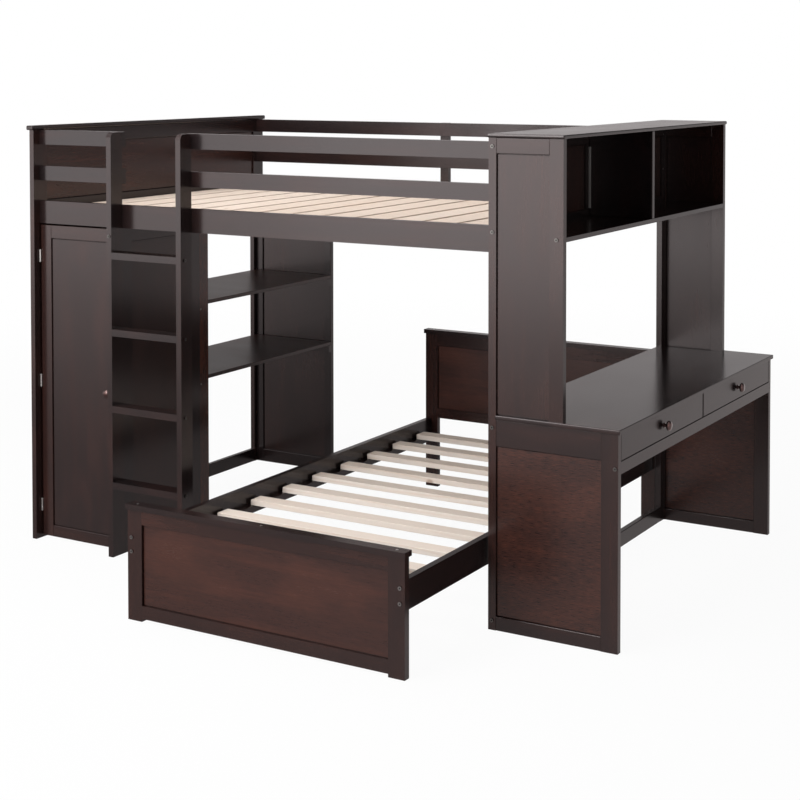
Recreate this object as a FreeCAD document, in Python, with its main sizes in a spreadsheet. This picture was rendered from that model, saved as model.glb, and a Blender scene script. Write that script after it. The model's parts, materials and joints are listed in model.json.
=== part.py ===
import FreeCAD, Part
import Sketcher
import os
import re

# A loft bed with a wardrobe and shelves under its left end, a ladder in front, a desk and a
# bookcase on its right end, and a separate low bed that stands crosswise under it.
# Lengths are millimetres. X runs along the loft, Y from its front to its back, Z up.
# Formulas count from the lower front left corner of the left end frame.

SIZES = {
    # The loft as a whole
    "loft_run": 1945,  # outside of the left end frame to the tower
    "loft_depth": 1477,
    "end_thick": 20,  # stock of the left end frame
    "stock": 22,  # stock of the other frames and of the rails
    "panel_thick": 9,
    "end_panel": 8,
    "stile": 72,  # width of the end frames' uprights
    "floor_rail": 56,
    "rail_set": 32,  # from the front of the end frames back to the rails
    # Deck and guard rails
    "deck_top": 1283,
    "deck_rail": 85,
    "guard_rise": 267,  # from the deck's rails up to the top of the guards
    "guard_rail": 55,
    "guard_gap": 80,
    "slat_drop": 28,
    "slat_thick": 20,
    "slat_ease": 2,
    "deck_slat": 118,
    "bearer": 30,
    "bearer_wide": 80,
    "batten_wide": 38,
    # Left end
    "head_rail": 54,
    "cap_thick": 17,
    "cap_side": 6,
    "cap_end": 12,
    # Ladder
    "ladder_deep": 62,
    "ladder_round": 22,
    "rung_span": 296,
    "rung_thick": 25,
    "rung_first": 251,
    "rung_drop": 83,  # from the underside of the deck's rails to the highest rung
    "rung_bolt": 40,  # from the rails' front forward to the bolts of the rungs
    "post_bolt": 25,
    # Wardrobe and shelves
    "unit_wide": 423,
    "ward_back": 487,
    "ward_stile": 52,
    "unit_post": 54,
    "ward_floor": 16,
    "floor_ease": 2,
    "rear_stile": 36,
    "shelf_low": 561,
    "shelf_high": 856,
    "shelf_thick": 15,
    "cleat_high": 30,
    "cleat_deep": 16,
    "hang_radius": 12.5,
    "hang_wall": 1.2,
    "hang_drop": 80,
    "socket_wall": 3,
    "socket_deep": 10,
    "socket_base": 2,
    "socket_ease": 0.2,
    "catch_wide": 14,
    "catch_high": 40,
    "catch_deep": 16,
    "catch_drop": 30,
    "catch_ease": 0.5,
    # Door
    "door_low": 10,
    "door_top_gap": 6,
    "door_thick": 20,
    "door_hinge_gap": 4.5,
    "door_free_gap": 3,
    "door_stile": 50,
    "door_rail": 43,
    "hinge_barrel": 8,
    "hinge_proud": 0.3,
    "hinge_high": 45,
    "hinge_leaf": 1.2,
    "hinge_reach": 22,
    "hinge_ease": 0.3,
    "hinge_pin": 3,
    "pin_head": 5,
    "pin_head_thick": 1.5,
    "pin_ease": 0.05,
    "hinge_end": 117.5,  # from the ends of the door to its outer hinges
    # Knobs
    "door_knob_inset": 44,
    "door_knob_high": 584,
    "collar": 18,
    "collar_thick": 2,
    "neck": 11,
    "neck_long": 6,
    "knob": 33,
    "knob_thick": 17,
    "knob_round": 7.5,
    # Tower: bookcase above, desk below
    "tower_rise": 281,
    "post_wide": 27,
    "middle_upright": 72,
    "case_reach": 259,
    "case_rail": 50,
    "case_stile": 47,
    "case_top": 13,
    "case_drop": 38,  # from the top of the deck's rails down to the bookcase
    "case_board": 15,
    "case_lip": 5,
    "divider": 20,
    "desk_reach": 443,
    "desk_top": 688,
    "desk_board": 15,
    "desk_lip": 8,
    "desk_rail": 85,
    "desk_foot": 45,
    "desk_stile": 56,
    "desk_back_rail": 83,
    "apron": 38,
    "apron_low": 548,
    # Drawers
    "front_gap": 2.5,
    "front_split": 9,  # between the two drawers' fronts
    "front_thick": 20,
    "drawer_gap": 2,
    "drawer_side": 12,
    "drawer_base": 5,
    "drawer_back": 6,
    "drawer_lift": 18,
    "drawer_drop": 15,
    "base_lift": 4,
    "web": 18,
    "runner_wide": 20,
    "runner_high": 14,
    "runner_low": 590,
    "runner_ease": 0.4,
    # Fasteners
    "bolt_head": 12,
    "bolt_head_thick": 3,
    "bolt_shank": 6,
    "bolt_long": 50,
    "long_bolt": 90,
    "bolt_ease": 0.2,
    "bolt_hex": 6,
    "bolt_hex_deep": 2,
    "bolt_edge": 31,  # from an edge of a frame to its nearest bolt
    "deck_bolt": 27,
    "desk_bolt": 26,
    "case_bolt": 6,
    "top_bolt": 27,
    "screw_head": 9,
    "screw_head_thick": 2.5,
    "screw_shank": 4,
    "screw_long": 40,
    "screw_edge": 38,
    # Twin bed
    "twin_wide": 1039,
    "twin_clear": 8,  # between its posts and the tower
    "twin_reach": 508,  # how far it stands out in front of the loft
    "twin_run": 1965,
    "twin_foot": 25,
    "twin_stile": 57,
    "twin_foot_high": 361,
    "twin_head_high": 653,
    "twin_lip": 8,
    "twin_side_lip": 5,
    "twin_rail_set": 5,
    "twin_rail_low": 200,
    "twin_rail": 91,
    "twin_cleat": 25,
    "twin_cleat_low": 205,
    "twin_slat": 60,
    "twin_slat_last": 136,  # the last slat's middle to the headboard's far face
    "twin_slat_first": 65,
    "twin_slat_ease": 10,
    "twin_foot_rail": 46,
    "twin_kick": 10,
    "twin_kick_rail": 42,
    "twin_head_rail": 50,
    "twin_head_low": 295,
    "twin_low_rail": 40,
    "twin_bolt_low": 24,
    "twin_bolt_pitch": 46,
}
DECK_SLATS = 14
TWIN_SLATS = 10
RUNGS = 4
HINGES = 3

doc = FreeCAD.newDocument("loft_bed")
sheet = doc.addObject("Spreadsheet::Sheet", "sizes")
for row, (alias, value) in enumerate(SIZES.items(), start=1):
    sheet.set(f"A{row}", alias)
    sheet.set(f"B{row}", str(value))
    sheet.setAlias(f"B{row}", alias)
doc.recompute()

# The part's own origin: the middle of its footprint, on the floor
CENTRE_X = "(loft_run + desk_reach + collar_thick + neck_long + knob_thick - cap_side) / 2"
CENTRE_Y = "(loft_depth + cap_end - twin_reach - twin_lip) / 2"

# Planes and spans that several pieces share
GUARD_TOP = "(deck_top + guard_rise)"
TOWER_TOP = "(deck_top + tower_rise)"
TWIN_RIGHT = "(loft_run - twin_clear)"
TWIN_LEFT = "(loft_run - twin_clear - twin_wide)"
CASE_FLOOR = "(deck_top - case_drop)"
FAR_Y = "loft_depth"
MID_Y = "loft_depth / 2"
RAIL_Y = ("rail_set", "rail_set + stock")
REAR_RAIL_Y = ("loft_depth - rail_set - stock", "loft_depth - rail_set")
LOFT_X = ("end_thick", "loft_run")
DECK_LOW = "deck_top - deck_rail"
DECK_Z = (DECK_LOW, "deck_top")
SLAT_TOP = "deck_top - slat_drop"
SLAT_LOW = f"{SLAT_TOP} - slat_thick"
BEARER_Z = (f"{SLAT_LOW} - bearer", SLAT_LOW)
HIGH_GUARD_Z = (f"{GUARD_TOP} - guard_rail", GUARD_TOP)
LOW_GUARD_Z = (
    f"{GUARD_TOP} - 2 * guard_rail - guard_gap",
    f"{GUARD_TOP} - guard_rail - guard_gap",
)
UNIT_X = ("unit_wide - stock", "unit_wide")
UNIT_INSIDE_X = ("end_thick", "unit_wide - stock")
BACK_Y = ("ward_back - panel_thick", "ward_back")
RIGHT_POST_X = ("unit_wide + rung_span", "unit_wide + rung_span + stock")
TOWER_X = ("loft_run", "loft_run + stock")
POST_X = ("loft_run", "loft_run + post_wide")
CASE_X = "loft_run + case_reach"
DESK_X = "loft_run + desk_reach"
CASE_Z = (CASE_FLOOR, f"{CASE_FLOOR} + case_board")
DESK_Z = ("desk_top - desk_board", "desk_top")
DESK_LOW = "desk_top - desk_board"
BACK_RAIL_Z = (f"{DESK_LOW} - desk_back_rail", DESK_LOW)
APRON_Z = ("apron_low", "apron_low + apron")
FRONT_X = (f"{DESK_X} - front_thick", DESK_X)
CASE_RAIL_Z = (f"{TOWER_TOP} - case_rail", TOWER_TOP)
TOWER_POSTS_Y = (("stock", RAIL_Y[1]), (REAR_RAIL_Y[0], "loft_depth - stock"))
TOWER_INSIDE_Y = (RAIL_Y[1], REAR_RAIL_Y[0])
BETWEEN_SIDES_Y = ("stock", "loft_depth - stock")
SIDES_Y = {"front": ("0", "stock"), "rear": ("loft_depth - stock", "loft_depth")}
PIN_X = "end_thick + hinge_barrel / 2 + hinge_ease"
PIN_Y = "rail_set - hinge_barrel / 2 - hinge_proud"
DOOR_X = ("end_thick + door_hinge_gap", "unit_wide - stock - door_free_gap")
DOOR_Y = ("rail_set", "rail_set + door_thick")
DOOR_Z = ("door_low", f"{DECK_LOW} - door_top_gap")
TWIN_FRONT = "0 - twin_reach"
TWIN_FOOT_Y = (TWIN_FRONT, f"{TWIN_FRONT} + twin_foot")
TWIN_HEAD_Y = (f"{TWIN_FRONT} + twin_run - stock", f"{TWIN_FRONT} + twin_run")
TWIN_PITCH = f"(twin_run - twin_slat_first - twin_slat_last) / ({TWIN_SLATS} - 1)"
TWIN_STILES_X = ((TWIN_LEFT, f"{TWIN_LEFT} + twin_stile"), (f"{TWIN_RIGHT} - twin_stile", TWIN_RIGHT))
TWIN_INSIDE_X = (f"{TWIN_LEFT} + twin_stile", f"{TWIN_RIGHT} - twin_stile")
TWIN_RAILS_X = (
    (f"{TWIN_LEFT} + twin_rail_set", f"{TWIN_LEFT} + twin_rail_set + stock"),
    (f"{TWIN_RIGHT} - twin_rail_set - stock", f"{TWIN_RIGHT} - twin_rail_set"),
)
TWIN_RAIL_Z = ("twin_rail_low", "twin_rail_low + twin_rail")

PIECES = {}
HOLES = {}
FITTINGS = {}


def bind(item, prop, formula):
    """Binds a property to a formula that names sizes of the sheet."""
    words = re.sub(
        r"[a-z][a-z_]+",
        lambda word: f"sizes.{word.group()}" if word.group() in SIZES else word.group(),
        formula,
    )
    item.setExpression(prop, words)


def put(item, x, y, z):
    """Binds where an object stands, counted from the part's own origin."""
    bind(item, ".Placement.Base.x", f"{x} - {CENTRE_X}")
    bind(item, ".Placement.Base.y", f"{y} - {CENTRE_Y}")
    bind(item, ".Placement.Base.z", z)


def middle(pair):
    return f"(({pair[0]}) + ({pair[1]})) / 2"


def about(centre, size):
    """The span of a size round a centre."""
    return (f"{centre} - {size} / 2", f"{centre} + {size} / 2")


def thin(pair, size="panel_thick"):
    """The span of a panel in the middle of a frame's own span."""
    return about(middle(pair), size)


def board(name, x, y, z):
    """A straight board between pairs of planes, kept under its name."""
    item = doc.addObject("Part::Box", f"{name}_board")
    bind(item, "Length", f"({x[1]}) - ({x[0]})")
    bind(item, "Width", f"({y[1]}) - ({y[0]})")
    bind(item, "Height", f"({z[1]}) - ({z[0]})")
    put(item, f"({x[0]})", f"({y[0]})", f"({z[0]})")
    PIECES[name] = item
    return item


def solid(kind, name, sizes, **base):
    """A primitive of a fitting, in the fitting's own coordinates."""
    item = doc.addObject(kind, name)
    for prop, formula in sizes.items():
        bind(item, prop, formula)
    for axis, formula in base.items():
        bind(item, f".Placement.Base.{axis}", formula)
    return item


def fused(name, shapes):
    item = doc.addObject("Part::MultiFuse", name)
    item.Shapes = shapes
    return item


def together(name, shapes):
    item = doc.addObject("Part::Compound", name)
    item.Links = shapes
    return item


def cut(name, base, tools):
    """A piece with other shapes taken out of it."""
    item = doc.addObject("Part::Cut", name)
    item.Base = base
    item.Tool = tools[0] if len(tools) == 1 else together(f"{name}_tools", tools)
    return item


def copy(name, master, at, turn=FreeCAD.Rotation()):
    """One more of a fitting, turned and put in its place."""
    item = together(name, [master])
    item.Placement.Rotation = turn
    put(item, *[f"({place})" for place in at])
    return item


def outline(body, role, corners):
    """A closed sketch of straight lines in a body. Each corner is two sums of sizes."""
    sketch = body.newObject("Sketcher::SketchObject", f"{body.Name}_outline")
    plane = [each for each in body.Origin.OriginFeatures if each.Role == role][0]
    sketch.AttachmentSupport = [(plane, "")]
    sketch.MapMode = "FlatFace"
    points = []
    for corner in corners:
        across, up = [sum(share * SIZES[size] for size, share in each.items()) for each in corner]
        points.append(FreeCAD.Vector(across, up, 0))
    for start, end in zip(points, points[1:] + points[:1]):
        sketch.addGeometry(Part.LineSegment(start, end), False)
    lines = range(len(corners))
    for line in lines:
        after = (line + 1) % len(corners)
        sketch.addConstraint(Sketcher.Constraint("Coincident", line, 2, after, 1))
    for line in lines:
        for kind, each, place in zip(("X", "Y"), corners[line], points[line]):
            along = f"Distance{kind}"
            number = sketch.addConstraint(Sketcher.Constraint(along, -1, 1, line, 1, place))
            sketch.renameConstraint(number, f"corner{line}{kind}")
            formula = " + ".join(f"{share} * {size}" for size, share in each.items())
            bind(sketch, f"Constraints.corner{line}{kind}", formula or "0")
    return sketch


def rounded(body, feature, size, chosen):
    """Rounds the edges of a body that a test picks, and makes that its last feature."""
    doc.recompute()
    edges = [f"Edge{n}" for n, edge in enumerate(feature.Shape.Edges, start=1) if chosen(edge)]
    rounding = body.newObject("PartDesign::Fillet", f"{body.Name}_rounding")
    rounding.Base = (feature, edges)
    bind(rounding, "Radius", size)
    body.Tip = rounding


def ladder_post(name, x):
    """An upright board whose two top corners are rounded."""
    body = doc.addObject("PartDesign::Body", name)
    deep = {"ladder_deep": 1}
    high = {"deck_top": 1, "guard_rise": 1}
    pad = body.newObject("PartDesign::Pad", f"{name}_pad")
    pad.Profile = outline(body, "YZ_Plane", [({}, {}), (deep, {}), (deep, high), ({}, high)])
    bind(pad, "Length", "stock")

    def at_top(edge):
        size = edge.BoundBox
        return size.XLength > size.YLength + size.ZLength and size.ZMin > size.XLength

    rounded(body, pad, "ladder_round", at_top)
    put(body, f"({x})", "(rail_set - ladder_deep)", "0")
    PIECES[name] = body


def knob_master():
    """A turned knob with a collar, a neck and a rounded head. Its axis is Z."""
    body = doc.addObject("PartDesign::Body", "knob_body")
    collar = {"collar": 0.5}
    neck = {"neck": 0.5}
    rim = {"knob": 0.5}
    step = {"collar_thick": 1}
    under = {"collar_thick": 1, "neck_long": 1}
    top = {"collar_thick": 1, "neck_long": 1, "knob_thick": 1}
    corners = [
        ({}, {}),
        (collar, {}),
        (collar, step),
        (neck, step),
        (neck, under),
        (rim, under),
        (rim, top),
        ({}, top),
    ]
    turned = body.newObject("PartDesign::Revolution", "knob_turned")
    profile = outline(body, "XZ_Plane", corners)
    turned.Profile = profile
    turned.ReferenceAxis = (profile, ["V_Axis"])
    turned.Angle = 360
    rim_radius = SIZES["knob"] / 2
    rounded(
        body,
        turned,
        "knob_round",
        lambda edge: len(edge.Vertexes) == 1 and abs(edge.Curve.Radius / rim_radius - 1) < 0.01,
    )
    return body


def bolt_master(name, long):
    """A hex socket bolt whose head stands on a face, and the hole that it needs."""
    head = solid(
        "Part::Cylinder", f"{name}_head", {"Radius": "bolt_head / 2", "Height": "bolt_head_thick"}
    )
    shank = solid(
        "Part::Cylinder",
        f"{name}_shank",
        {"Radius": "bolt_shank / 2", "Height": long},
        z=f"0 - {long}",
    )
    socket = solid(
        "Part::Prism",
        f"{name}_socket",
        {"Circumradius": "bolt_hex / 2", "Height": "bolt_hex_deep"},
        z="bolt_head_thick - bolt_hex_deep",
    )
    hole = solid(
        "Part::Cylinder",
        f"{name}_bore",
        {"Radius": "bolt_shank / 2 + bolt_ease", "Height": f"{long} + bolt_ease"},
        z=f"0 - {long} - bolt_ease",
    )
    return cut(f"{name}_shape", fused(f"{name}_blank", [head, shank]), [socket]), hole


def screw_master():
    """A screw whose head lies flush in its board, and the hole that it needs."""
    shapes = []
    for name, ease in (("screw", "0"), ("screw_bore", "bolt_ease")):
        head = solid(
            "Part::Cylinder",
            f"{name}_head",
            {"Radius": f"screw_head / 2 + {ease}", "Height": "screw_head_thick"},
            z="0 - screw_head_thick",
        )
        shank = solid(
            "Part::Cylinder",
            f"{name}_shank",
            {"Radius": f"screw_shank / 2 + {ease}", "Height": f"screw_long + {ease}"},
            z=f"0 - screw_long - {ease}",
        )
        shapes.append(fused(f"{name}_shape", [head, shank]))
    return tuple(shapes)


def hinge_masters():
    """The frame's leaf, the door's leaf and the pin of a butt hinge round the Z axis."""
    radius = "hinge_barrel / 2"
    clear = f"{radius} + hinge_ease"
    joint = "hinge_high / 6 + hinge_ease / 2"
    low = "0 - hinge_high / 2"
    outer = f"hinge_high / 3 - hinge_ease / 2"
    inner = f"hinge_high / 3 - hinge_ease"
    door_edge = f"door_hinge_gap - {radius} - hinge_ease"

    def leaf(name, x, knuckles):
        shapes = [
            solid(
                "Part::Box",
                f"{name}_plate",
                {"Length": "hinge_leaf", "Width": "hinge_reach", "Height": "hinge_high"},
                x=x,
                y=clear,
                z=low,
            )
        ]
        for number, (start, long) in enumerate(knuckles):
            barrel = {"Radius": radius, "Height": long}
            shapes.append(solid("Part::Cylinder", f"{name}_knuckle{number}", barrel, z=start))
            shapes.append(
                solid(
                    "Part::Box",
                    f"{name}_tongue{number}",
                    {"Length": "hinge_leaf", "Width": clear, "Height": long},
                    x=x,
                    z=start,
                )
            )
        bore = solid(
            "Part::Cylinder",
            f"{name}_bore",
            {"Radius": "hinge_pin / 2 + pin_ease", "Height": "hinge_high"},
            z=low,
        )
        return cut(f"{name}_shape", fused(f"{name}_blank", shapes), [bore])

    frame = leaf("frame_leaf", f"0 - {clear}", [(low, outer), (joint, outer)])
    door = leaf("door_leaf", f"{door_edge} - hinge_leaf", [(f"0 - ({inner}) / 2", inner)])
    rod = {"Radius": "hinge_pin / 2", "Height": "hinge_high"}
    button = {"Radius": "pin_head / 2", "Height": "pin_head_thick"}
    pin = [
        solid("Part::Cylinder", "pin_rod", rod, z=low),
        solid("Part::Cylinder", "pin_tip", button, z=f"{low} - pin_head_thick"),
        solid("Part::Cylinder", "pin_top", button, z="hinge_high / 2"),
    ]
    return {"frame": frame, "door": door, "pin": fused("pin_shape", pin)}


UP = FreeCAD.Rotation()
TO_RIGHT = FreeCAD.Rotation(FreeCAD.Vector(0, 1, 0), 90)
TO_LEFT = FreeCAD.Rotation(FreeCAD.Vector(0, 1, 0), -90)
TO_FRONT = FreeCAD.Rotation(FreeCAD.Vector(1, 0, 0), 90)
TO_BACK = FreeCAD.Rotation(FreeCAD.Vector(1, 0, 0), -90)
FASTENERS = {
    "bolt": bolt_master("bolt", "bolt_long"),
    "long_bolt": bolt_master("through", "long_bolt"),
    "screw": screw_master(),
}


def fasten(node, kind, at, turn, boards):
    """Puts a fastener through boards, and its hole into each of them."""
    placed = FITTINGS.setdefault(node, [])
    shape, hole = FASTENERS[kind]
    name = f"{node}_{len(placed) + 1}"
    placed.append(copy(name, shape, at, turn))
    tool = copy(f"{name}_hole", hole, at, turn)
    for each in boards:
        HOLES.setdefault(each, []).append(tool)


def left_end():
    """The left end frame: three uprights, three rails, a cap and two panels."""
    x = ("0", "end_thick")
    panel_x = thin(x, "end_panel")
    inside_y = ("stile", "loft_depth - stile")
    middle_y = ("ward_back + unit_post - stile", "ward_back + unit_post")
    board("left_front_post", x, ("0", "stile"), ("0", GUARD_TOP))
    board("left_rear_post", x, (inside_y[1], FAR_Y), ("0", GUARD_TOP))
    board("left_middle_post", x, middle_y, ("floor_rail", DECK_LOW))
    board("left_floor_rail", x, inside_y, ("0", "floor_rail"))
    board("left_deck_rail", x, inside_y, DECK_Z)
    board("left_head_rail", x, inside_y, (f"{GUARD_TOP} - head_rail", GUARD_TOP))
    board("head_panel", panel_x, inside_y, ("deck_top", f"{GUARD_TOP} - head_rail"))
    board("wall_panel", panel_x, ("stile", middle_y[0]), ("floor_rail", DECK_LOW))
    board(
        "left_cap",
        ("0 - cap_side", "end_thick + cap_side"),
        ("0 - cap_end", "loft_depth + cap_end"),
        (GUARD_TOP, f"{GUARD_TOP} + cap_thick"),
    )


def deck():
    """The side rails, the bearers between them and the slats."""
    board("front_side_rail", LOFT_X, RAIL_Y, DECK_Z)
    board("rear_side_rail", LOFT_X, REAR_RAIL_Y, DECK_Z)
    board("front_bearer", LOFT_X, (RAIL_Y[1], f"{RAIL_Y[1]} + bearer"), BEARER_Z)
    board("rear_bearer", LOFT_X, (f"{REAR_RAIL_Y[0]} - bearer", REAR_RAIL_Y[0]), BEARER_Z)
    board("centre_bearer", LOFT_X, about(MID_Y, "bearer_wide"), BEARER_Z)
    pitch = f"(loft_run - end_thick) / {DECK_SLATS}"
    for number in range(DECK_SLATS):
        centre = f"end_thick + {number + 0.5} * {pitch}"
        board(
            f"deck_slat_{number + 1}",
            about(centre, "deck_slat"),
            (f"{RAIL_Y[1]} + slat_ease", f"{REAR_RAIL_Y[0]} - slat_ease"),
            (SLAT_LOW, SLAT_TOP),
        )


def guard_rails():
    """Guard rails on each side of the ladder and behind, and the batten that ties the rear."""
    spans = {"left": ("end_thick", "unit_wide"), "right": (RIGHT_POST_X[0], "loft_run")}
    for side, x in spans.items():
        board(f"{side}_low_guard", x, RAIL_Y, LOW_GUARD_Z)
        board(f"{side}_high_guard", x, RAIL_Y, HIGH_GUARD_Z)
    board("rear_low_guard", LOFT_X, REAR_RAIL_Y, LOW_GUARD_Z)
    board("rear_high_guard", LOFT_X, REAR_RAIL_Y, HIGH_GUARD_Z)
    batten_y = (REAR_RAIL_Y[1], f"{REAR_RAIL_Y[1]} + stock")
    board("rear_batten", thin(LOFT_X, "batten_wide"), batten_y, (DECK_LOW, GUARD_TOP))


def ladder():
    """Two posts in front of the rails and the rungs between them."""
    ladder_post("left_ladder_post", UNIT_X[0])
    ladder_post("right_ladder_post", RIGHT_POST_X[0])
    last = f"({DECK_LOW} - rung_drop - rung_thick)"
    for number in range(RUNGS):
        low = f"rung_first + {number} * ({last} - rung_first) / {RUNGS - 1}"
        board(
            f"rung_{number + 1}",
            (UNIT_X[1], RIGHT_POST_X[0]),
            ("rail_set - ladder_deep", "rail_set"),
            (low, f"{low} + rung_thick"),
        )
        height = f"{low} + rung_thick / 2"
        bolt_y = "rail_set - rung_bolt"
        boards = ("right_ladder_post", f"rung_{number + 1}")
        fasten("frame_bolts", "bolt", (RIGHT_POST_X[1], bolt_y, height), TO_RIGHT, boards)
        boards = ("left_ladder_post", f"rung_{number + 1}")
        fasten("frame_screws", "screw", (UNIT_X[0], bolt_y, height), TO_LEFT, boards)
    boards = ("left_ladder_post", "wardrobe_front_stile")
    post_front = (middle(UNIT_X), "rail_set - ladder_deep", f"{DECK_LOW} - post_bolt")
    fasten("frame_bolts", "long_bolt", post_front, TO_FRONT, boards)


def wardrobe():
    """The wardrobe's side frame, back and floor, its rail and its door catch."""
    side_y = ("rail_set", "ward_back")
    front_y = ("rail_set", "rail_set + ward_stile")
    rear_y = ("ward_back - ward_stile", "ward_back")
    inside_y = (front_y[1], rear_y[0])
    board("wardrobe_front_stile", UNIT_X, front_y, ("0", DECK_LOW))
    board("wardrobe_rear_stile", UNIT_X, rear_y, ("0", DECK_LOW))
    board("wardrobe_low_rail", UNIT_X, inside_y, ("0", "floor_rail"))
    board("wardrobe_high_rail", UNIT_X, inside_y, (f"{DECK_LOW} - ward_stile", DECK_LOW))
    panel_x = thin(UNIT_X)
    panel_z = ("floor_rail", f"{DECK_LOW} - ward_stile")
    board("wardrobe_side_panel", panel_x, inside_y, panel_z)
    board("wardrobe_back", UNIT_INSIDE_X, BACK_Y, ("door_low", DECK_LOW))
    floor_y = (f"{DOOR_Y[1]} + floor_ease", BACK_Y[0])
    board("wardrobe_floor", UNIT_INSIDE_X, floor_y, ("floor_rail - ward_floor", "floor_rail"))
    hang_x = ("(end_thick + end_panel) / 2", panel_x[0])
    hang_y = middle(side_y)
    hang_z = f"{DECK_LOW} - hang_drop"
    long = f"({hang_x[1]}) - ({hang_x[0]}) - 2 * socket_base"
    bore_size = {"Radius": "hang_radius - hang_wall", "Height": long}
    tube = solid("Part::Cylinder", "tube", {"Radius": "hang_radius", "Height": long})
    pipe = cut("pipe", tube, [solid("Part::Cylinder", "tube_bore", bore_size)])
    FITTINGS["hanging_rail"] = [
        copy("hanging_pipe", pipe, (f"{hang_x[0]} + socket_base", hang_y, hang_z), TO_RIGHT)
    ]
    outer = "hang_radius + socket_ease + socket_wall"
    cup = solid("Part::Cylinder", "cup_blank", {"Radius": outer, "Height": "socket_deep"})
    hollow = solid(
        "Part::Cylinder",
        "cup_hollow",
        {"Radius": "hang_radius + socket_ease", "Height": "socket_deep"},
        z="socket_base",
    )
    socket = cut("cup", cup, [hollow])
    FITTINGS["rail_sockets"] = [
        copy("left_socket", socket, (hang_x[0], hang_y, hang_z), TO_RIGHT),
        copy("right_socket", socket, (hang_x[1], hang_y, hang_z), TO_LEFT),
    ]
    catch_y = f"{DOOR_Y[1]} + catch_ease"
    catch_top = f"{DOOR_Z[1]} - catch_drop"
    board(
        "door_catch",
        (f"{UNIT_INSIDE_X[1]} - catch_wide", UNIT_INSIDE_X[1]),
        (catch_y, f"{catch_y} + catch_deep"),
        (f"{catch_top} - catch_high", catch_top),
    )


def door():
    """The wardrobe door with its recessed panel, its knob and its three hinges."""
    stiles_x = ((DOOR_X[0], f"{DOOR_X[0]} + door_stile"), (f"{DOOR_X[1]} - door_stile", DOOR_X[1]))
    inside_x = (stiles_x[0][1], stiles_x[1][0])
    low_z = (DOOR_Z[0], f"{DOOR_Z[0]} + door_rail")
    high_z = (f"{DOOR_Z[1]} - door_stile", DOOR_Z[1])
    board("door_hinge_stile", stiles_x[0], DOOR_Y, DOOR_Z)
    board("door_free_stile", stiles_x[1], DOOR_Y, DOOR_Z)
    board("door_low_rail", inside_x, DOOR_Y, low_z)
    board("door_high_rail", inside_x, DOOR_Y, high_z)
    board("door_panel", inside_x, thin(DOOR_Y), (low_z[1], high_z[0]))
    at = (f"{DOOR_X[1]} - door_knob_inset", "rail_set", "door_knob_high")
    FITTINGS["door_knob"] = [copy("door_knob_turned", KNOB, at, TO_FRONT)]
    hinge_nodes = {"hinge_frame_leaves": "frame", "hinge_door_leaves": "door", "hinge_pins": "pin"}
    lowest = f"({DOOR_Z[0]} + hinge_end)"
    highest = f"({DOOR_Z[1]} - hinge_end)"
    for node, part in hinge_nodes.items():
        for number in range(HINGES):
            height = f"{lowest} + {number} * ({highest} - {lowest}) / {HINGES - 1}"
            at = (PIN_X, PIN_Y, height)
            each = copy(f"{node}_{number + 1}", HINGE[part], at, UP)
            FITTINGS.setdefault(node, []).append(each)


def shelves():
    """The post, rear frame, cleats and two shelves behind the wardrobe."""
    post_y = ("ward_back", "ward_back + unit_post")
    board("shelf_unit_post", UNIT_X, post_y, ("0", DECK_LOW))
    rear_y = REAR_RAIL_Y
    stiles_x = (("end_thick", "end_thick + rear_stile"), ("unit_wide - rear_stile", "unit_wide"))
    inside_x = (stiles_x[0][1], stiles_x[1][0])
    board("rear_left_stile", stiles_x[0], rear_y, ("0", DECK_LOW))
    board("rear_right_stile", stiles_x[1], rear_y, ("0", DECK_LOW))
    board("rear_low_rail", inside_x, rear_y, ("0", "floor_rail"))
    board("rear_high_rail", inside_x, rear_y, (f"{DECK_LOW} - ward_stile", DECK_LOW))
    board("rear_panel", inside_x, thin(rear_y), ("floor_rail", f"{DECK_LOW} - ward_stile"))
    for name, low in (("low", "shelf_low"), ("high", "shelf_high")):
        shelf_x = ("end_thick", "unit_wide")
        shelf_z = (low, f"{low} + shelf_thick")
        blank = board(f"{name}_shelf_blank", shelf_x, ("ward_back", rear_y[0]), shelf_z)
        notch = board(f"{name}_shelf_notch", UNIT_X, post_y, shelf_z)
        PIECES[f"{name}_shelf"] = cut(f"{name}_shelf_board", blank, [notch])
        cleat_z = (f"{low} - cleat_high", low)
        front_y = ("ward_back", "ward_back + cleat_deep")
        board(f"{name}_front_cleat", UNIT_INSIDE_X, front_y, cleat_z)
        board(f"{name}_rear_cleat", shelf_x, (f"{rear_y[0]} - cleat_deep", rear_y[0]), cleat_z)
        at = (UNIT_X[1], middle(front_y), middle(cleat_z))
        fasten("frame_screws", "screw", at, TO_RIGHT, ("shelf_unit_post", f"{name}_front_cleat"))


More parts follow.
